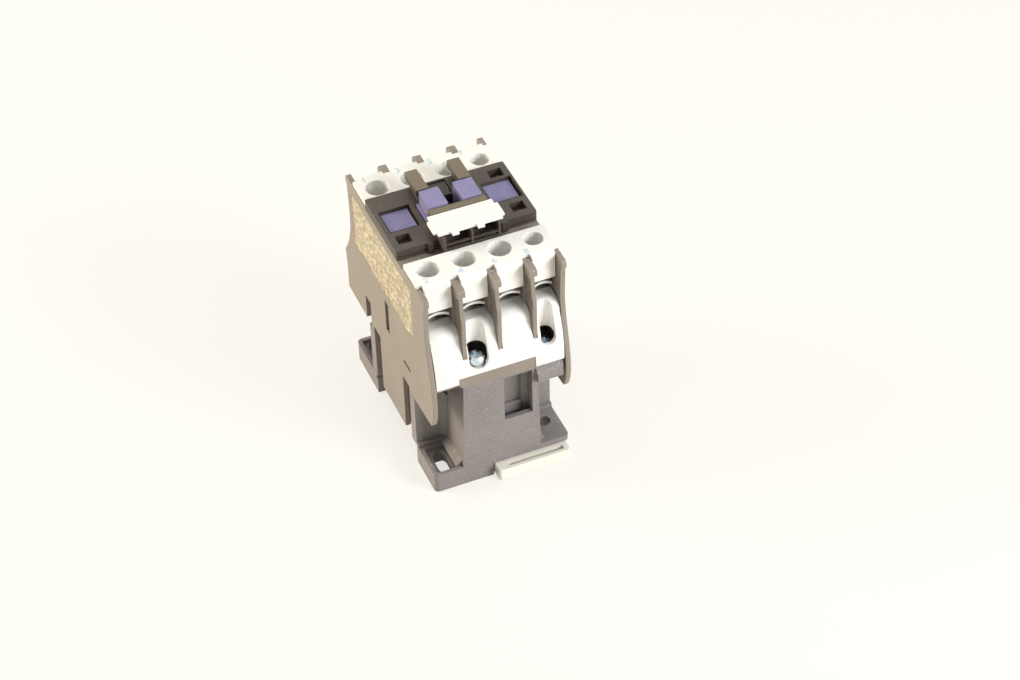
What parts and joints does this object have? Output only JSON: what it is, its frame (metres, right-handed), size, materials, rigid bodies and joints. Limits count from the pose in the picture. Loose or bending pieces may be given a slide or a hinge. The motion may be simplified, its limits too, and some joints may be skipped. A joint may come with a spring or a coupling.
{
  "type": "contactor",
  "caption": "Three-pole power contactor with an auxiliary pole: clamp terminals under white covers, a spring-returned blue carrier, coil and magnet, feet and a sliding rail clip.",
  "frame": {"origin": "on the panel plane, at the common centre of the four mounting holes", "axes": "+Z away from the panel towards the front, +X towards the auxiliary pole (the right of the picture), -Y towards the load terminals"},
  "size_m": [0.045, 0.0756, 0.085],
  "materials": {
    "black_shell": "moulded, lightly grained",
    "white_cover": "satin",
    "marker": "satin",
    "clip": "satin",
    "blue_carrier": "satin",
    "zinc_screw": "bright zinc plating",
    "zinc_washer": "bright zinc plating",
    "contact_brass": "satin",
    "coil_brass": "tin plated",
    "core_steel": "laminated, oiled",
    "pin_steel": "bright",
    "ring_copper": "satin",
    "pad_rubber": "matt",
    "bobbin": "satin",
    "winding": "enamelled wire under tape",
    "spring_steel": "bright"
  },
  "bodies": {
    "housing": {"base_housing": "black_shell", "contact_housing": "black_shell", "front_cover": "black_shell", "marker_plate": "marker", "line_terminal_cover": "white_cover", "load_terminal_cover": "white_cover", "line_lower_shroud": "white_cover", "load_lower_shroud": "white_cover", "din_clip_spring": "spring_steel", "housing_screws": "zinc_screw", "fixed_core": "core_steel", "fixed_core_rivets": "pin_steel", "shading_rings": "ring_copper", "core_pad": "pad_rubber", "coil_bobbin": "bobbin", "coil_winding": "winding", "coil_terminal_a1": "coil_brass", "coil_terminal_a2": "coil_brass", "return_springs": "spring_steel", "fixed_contact_1": "contact_brass", "fixed_contact_2": "contact_brass", "fixed_contact_3": "contact_brass", "fixed_contact_4": "contact_brass", "fixed_contact_5": "contact_brass", "fixed_contact_6": "contact_brass", "fixed_contact_7": "contact_brass", "fixed_contact_8": "contact_brass"},
    "carrier": {"contact_carrier": "blue_carrier", "moving_core": "core_steel", "moving_core_rivets": "pin_steel", "carrier_pin": "pin_steel", "contact_spring_1": "spring_steel", "contact_spring_2": "spring_steel", "contact_spring_3": "spring_steel", "contact_spring_4": "spring_steel"},
    "clip": {"din_clip": "clip"},
    "coil_clamp_a1": {"coil_screw_a1": "zinc_screw"},
    "coil_clamp_a2": {"coil_screw_a2": "zinc_screw"},
    "bridge_1": {"contact_bridge_1": "contact_brass"},
    "bridge_2": {"contact_bridge_2": "contact_brass"},
    "bridge_3": {"contact_bridge_3": "contact_brass"},
    "bridge_4": {"contact_bridge_4": "contact_brass"},
    "clamp_1": {"terminal_screw_1": "zinc_screw", "clamp_washer_1": "zinc_washer"},
    "clamp_2": {"terminal_screw_2": "zinc_screw", "clamp_washer_2": "zinc_washer"},
    "clamp_3": {"terminal_screw_3": "zinc_screw", "clamp_washer_3": "zinc_washer"},
    "clamp_4": {"terminal_screw_4": "zinc_screw", "clamp_washer_4": "zinc_washer"},
    "clamp_5": {"terminal_screw_5": "zinc_screw", "clamp_washer_5": "zinc_washer"},
    "clamp_6": {"terminal_screw_6": "zinc_screw", "clamp_washer_6": "zinc_washer"},
    "clamp_7": {"terminal_screw_7": "zinc_screw", "clamp_washer_7": "zinc_washer"},
    "clamp_8": {"terminal_screw_8": "zinc_screw", "clamp_washer_8": "zinc_washer"}
  },
  "joints": [
    {"name": "carrier_slide", "type": "slide", "parent": "housing", "child": "carrier", "axis": [0, 0, -1], "range_m": [0, 0.0055], "stiffness_N_per_m": 400, "springref_m": -0.005, "deforming": ["return_springs"]},
    {"name": "din_clip_slide", "type": "slide", "parent": "housing", "child": "clip", "axis": [0, -1, 0], "range_m": [0, 0.005], "stiffness_N_per_m": 1500, "springref_m": -0.003, "deforming": ["din_clip_spring"]},
    {"name": "bridge_1_slide", "type": "slide", "parent": "carrier", "child": "bridge_1", "axis": [0, 0, 1], "range_m": [0, 0.002], "deforming": ["contact_spring_1"]},
    {"name": "bridge_2_slide", "type": "slide", "parent": "carrier", "child": "bridge_2", "axis": [0, 0, 1], "range_m": [0, 0.002], "deforming": ["contact_spring_2"]},
    {"name": "bridge_3_slide", "type": "slide", "parent": "carrier", "child": "bridge_3", "axis": [0, 0, 1], "range_m": [0, 0.002], "deforming": ["contact_spring_3"]},
    {"name": "bridge_4_slide", "type": "slide", "parent": "carrier", "child": "bridge_4", "axis": [0, 0, 1], "range_m": [0, 0.002], "deforming": ["contact_spring_4"]},
    {"name": "clamp_1_slide", "type": "slide", "parent": "housing", "child": "clamp_1", "axis": [0, 0, -1], "range_m": [0, 0.0026]},
    {"name": "clamp_2_slide", "type": "slide", "parent": "housing", "child": "clamp_2", "axis": [0, 0, -1], "range_m": [0, 0.0026]},
    {"name": "clamp_3_slide", "type": "slide", "parent": "housing", "child": "clamp_3", "axis": [0, 0, -1], "range_m": [0, 0.0026]},
    {"name": "clamp_4_slide", "type": "slide", "parent": "housing", "child": "clamp_4", "axis": [0, 0, -1], "range_m": [0, 0.0026]},
    {"name": "clamp_5_slide", "type": "slide", "parent": "housing", "child": "clamp_5", "axis": [0, 0, -1], "range_m": [0, 0.0026]},
    {"name": "clamp_6_slide", "type": "slide", "parent": "housing", "child": "clamp_6", "axis": [0, 0, -1], "range_m": [0, 0.0026]},
    {"name": "clamp_7_slide", "type": "slide", "parent": "housing", "child": "clamp_7", "axis": [0, 0, -1], "range_m": [0, 0.0026]},
    {"name": "clamp_8_slide", "type": "slide", "parent": "housing", "child": "clamp_8", "axis": [0, 0, -1], "range_m": [0, 0.0026]},
    {"name": "coil_clamp_a1_slide", "type": "slide", "parent": "housing", "child": "coil_clamp_a1", "axis": [0, 0, -1], "range_m": [0, 0.002]},
    {"name": "coil_clamp_a2_slide", "type": "slide", "parent": "housing", "child": "coil_clamp_a2", "axis": [0, 0, -1], "range_m": [0, 0.002]}
  ],
  "couplings": [
    {"joint": "bridge_1_slide", "follows": "carrier_slide", "ratio": 0.36364},
    {"joint": "bridge_2_slide", "follows": "carrier_slide", "ratio": 0.36364},
    {"joint": "bridge_3_slide", "follows": "carrier_slide", "ratio": 0.36364},
    {"joint": "bridge_4_slide", "follows": "carrier_slide", "ratio": 0.36364}
  ]
}
